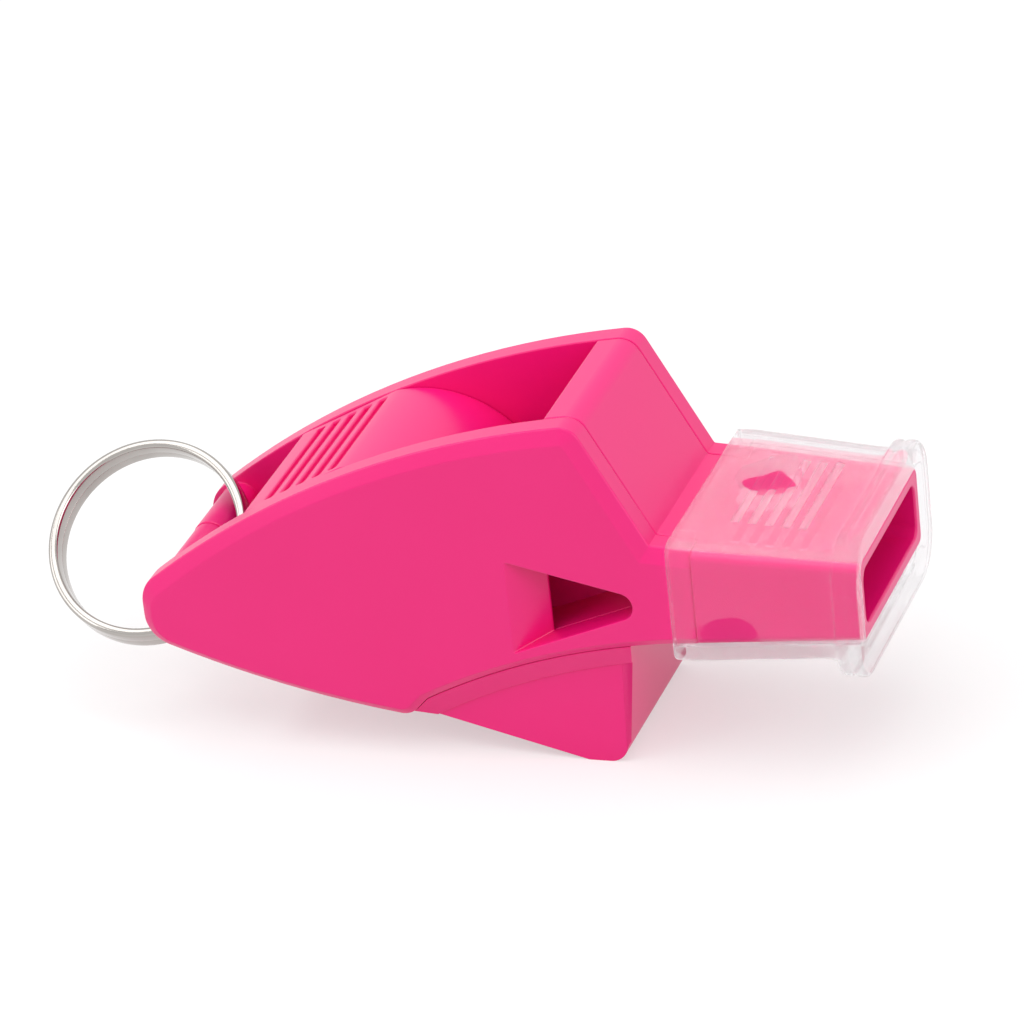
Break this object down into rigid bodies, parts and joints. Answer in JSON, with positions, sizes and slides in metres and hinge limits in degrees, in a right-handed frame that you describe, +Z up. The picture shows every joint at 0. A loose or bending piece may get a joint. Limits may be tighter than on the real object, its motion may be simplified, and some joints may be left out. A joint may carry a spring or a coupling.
{
  "type": "sports whistle",
  "caption": "Pealess fin-shaped plastic sports whistle with open top scoop, side windows, grooved grip, lower fin, clear mouth cover and steel split ring.",
  "frame": {"origin": "bottom centre of the bounding box, on the level of the lower fin's foot", "axes": "+X along the mouthpiece towards the mouth, +Z up towards the scoop, +Y across the whistle towards the player's right"},
  "size_m": [0.067, 0.021, 0.0279],
  "materials": {
    "pink_plastic": "glossy moulded plastic",
    "clear_cover": "clear soft plastic",
    "ring_steel": "bright plated steel"
  },
  "bodies": {
    "whistle_body": {"front_body": "pink_plastic", "chamber_block": "pink_plastic", "left_side_plate": "pink_plastic", "right_side_plate": "pink_plastic", "grip_panel": "pink_plastic", "lower_fin": "pink_plastic", "airway_divider": "pink_plastic"},
    "mouth_cover": {"mouth_cover": "clear_cover"},
    "split_ring": {"split_ring": "ring_steel"}
  },
  "joints": [
    {"name": "ring_swing", "type": "hinge", "parent": "whistle_body", "child": "split_ring", "pos_m": [-0.02048, 0, 0.01254], "axis": [0, 1, 0], "range_deg": [-55, 75]},
    {"name": "cover_pull", "type": "slide", "parent": "whistle_body", "child": "mouth_cover", "axis": [1, 0, 0], "range_m": [0, 0.016]}
  ]
}
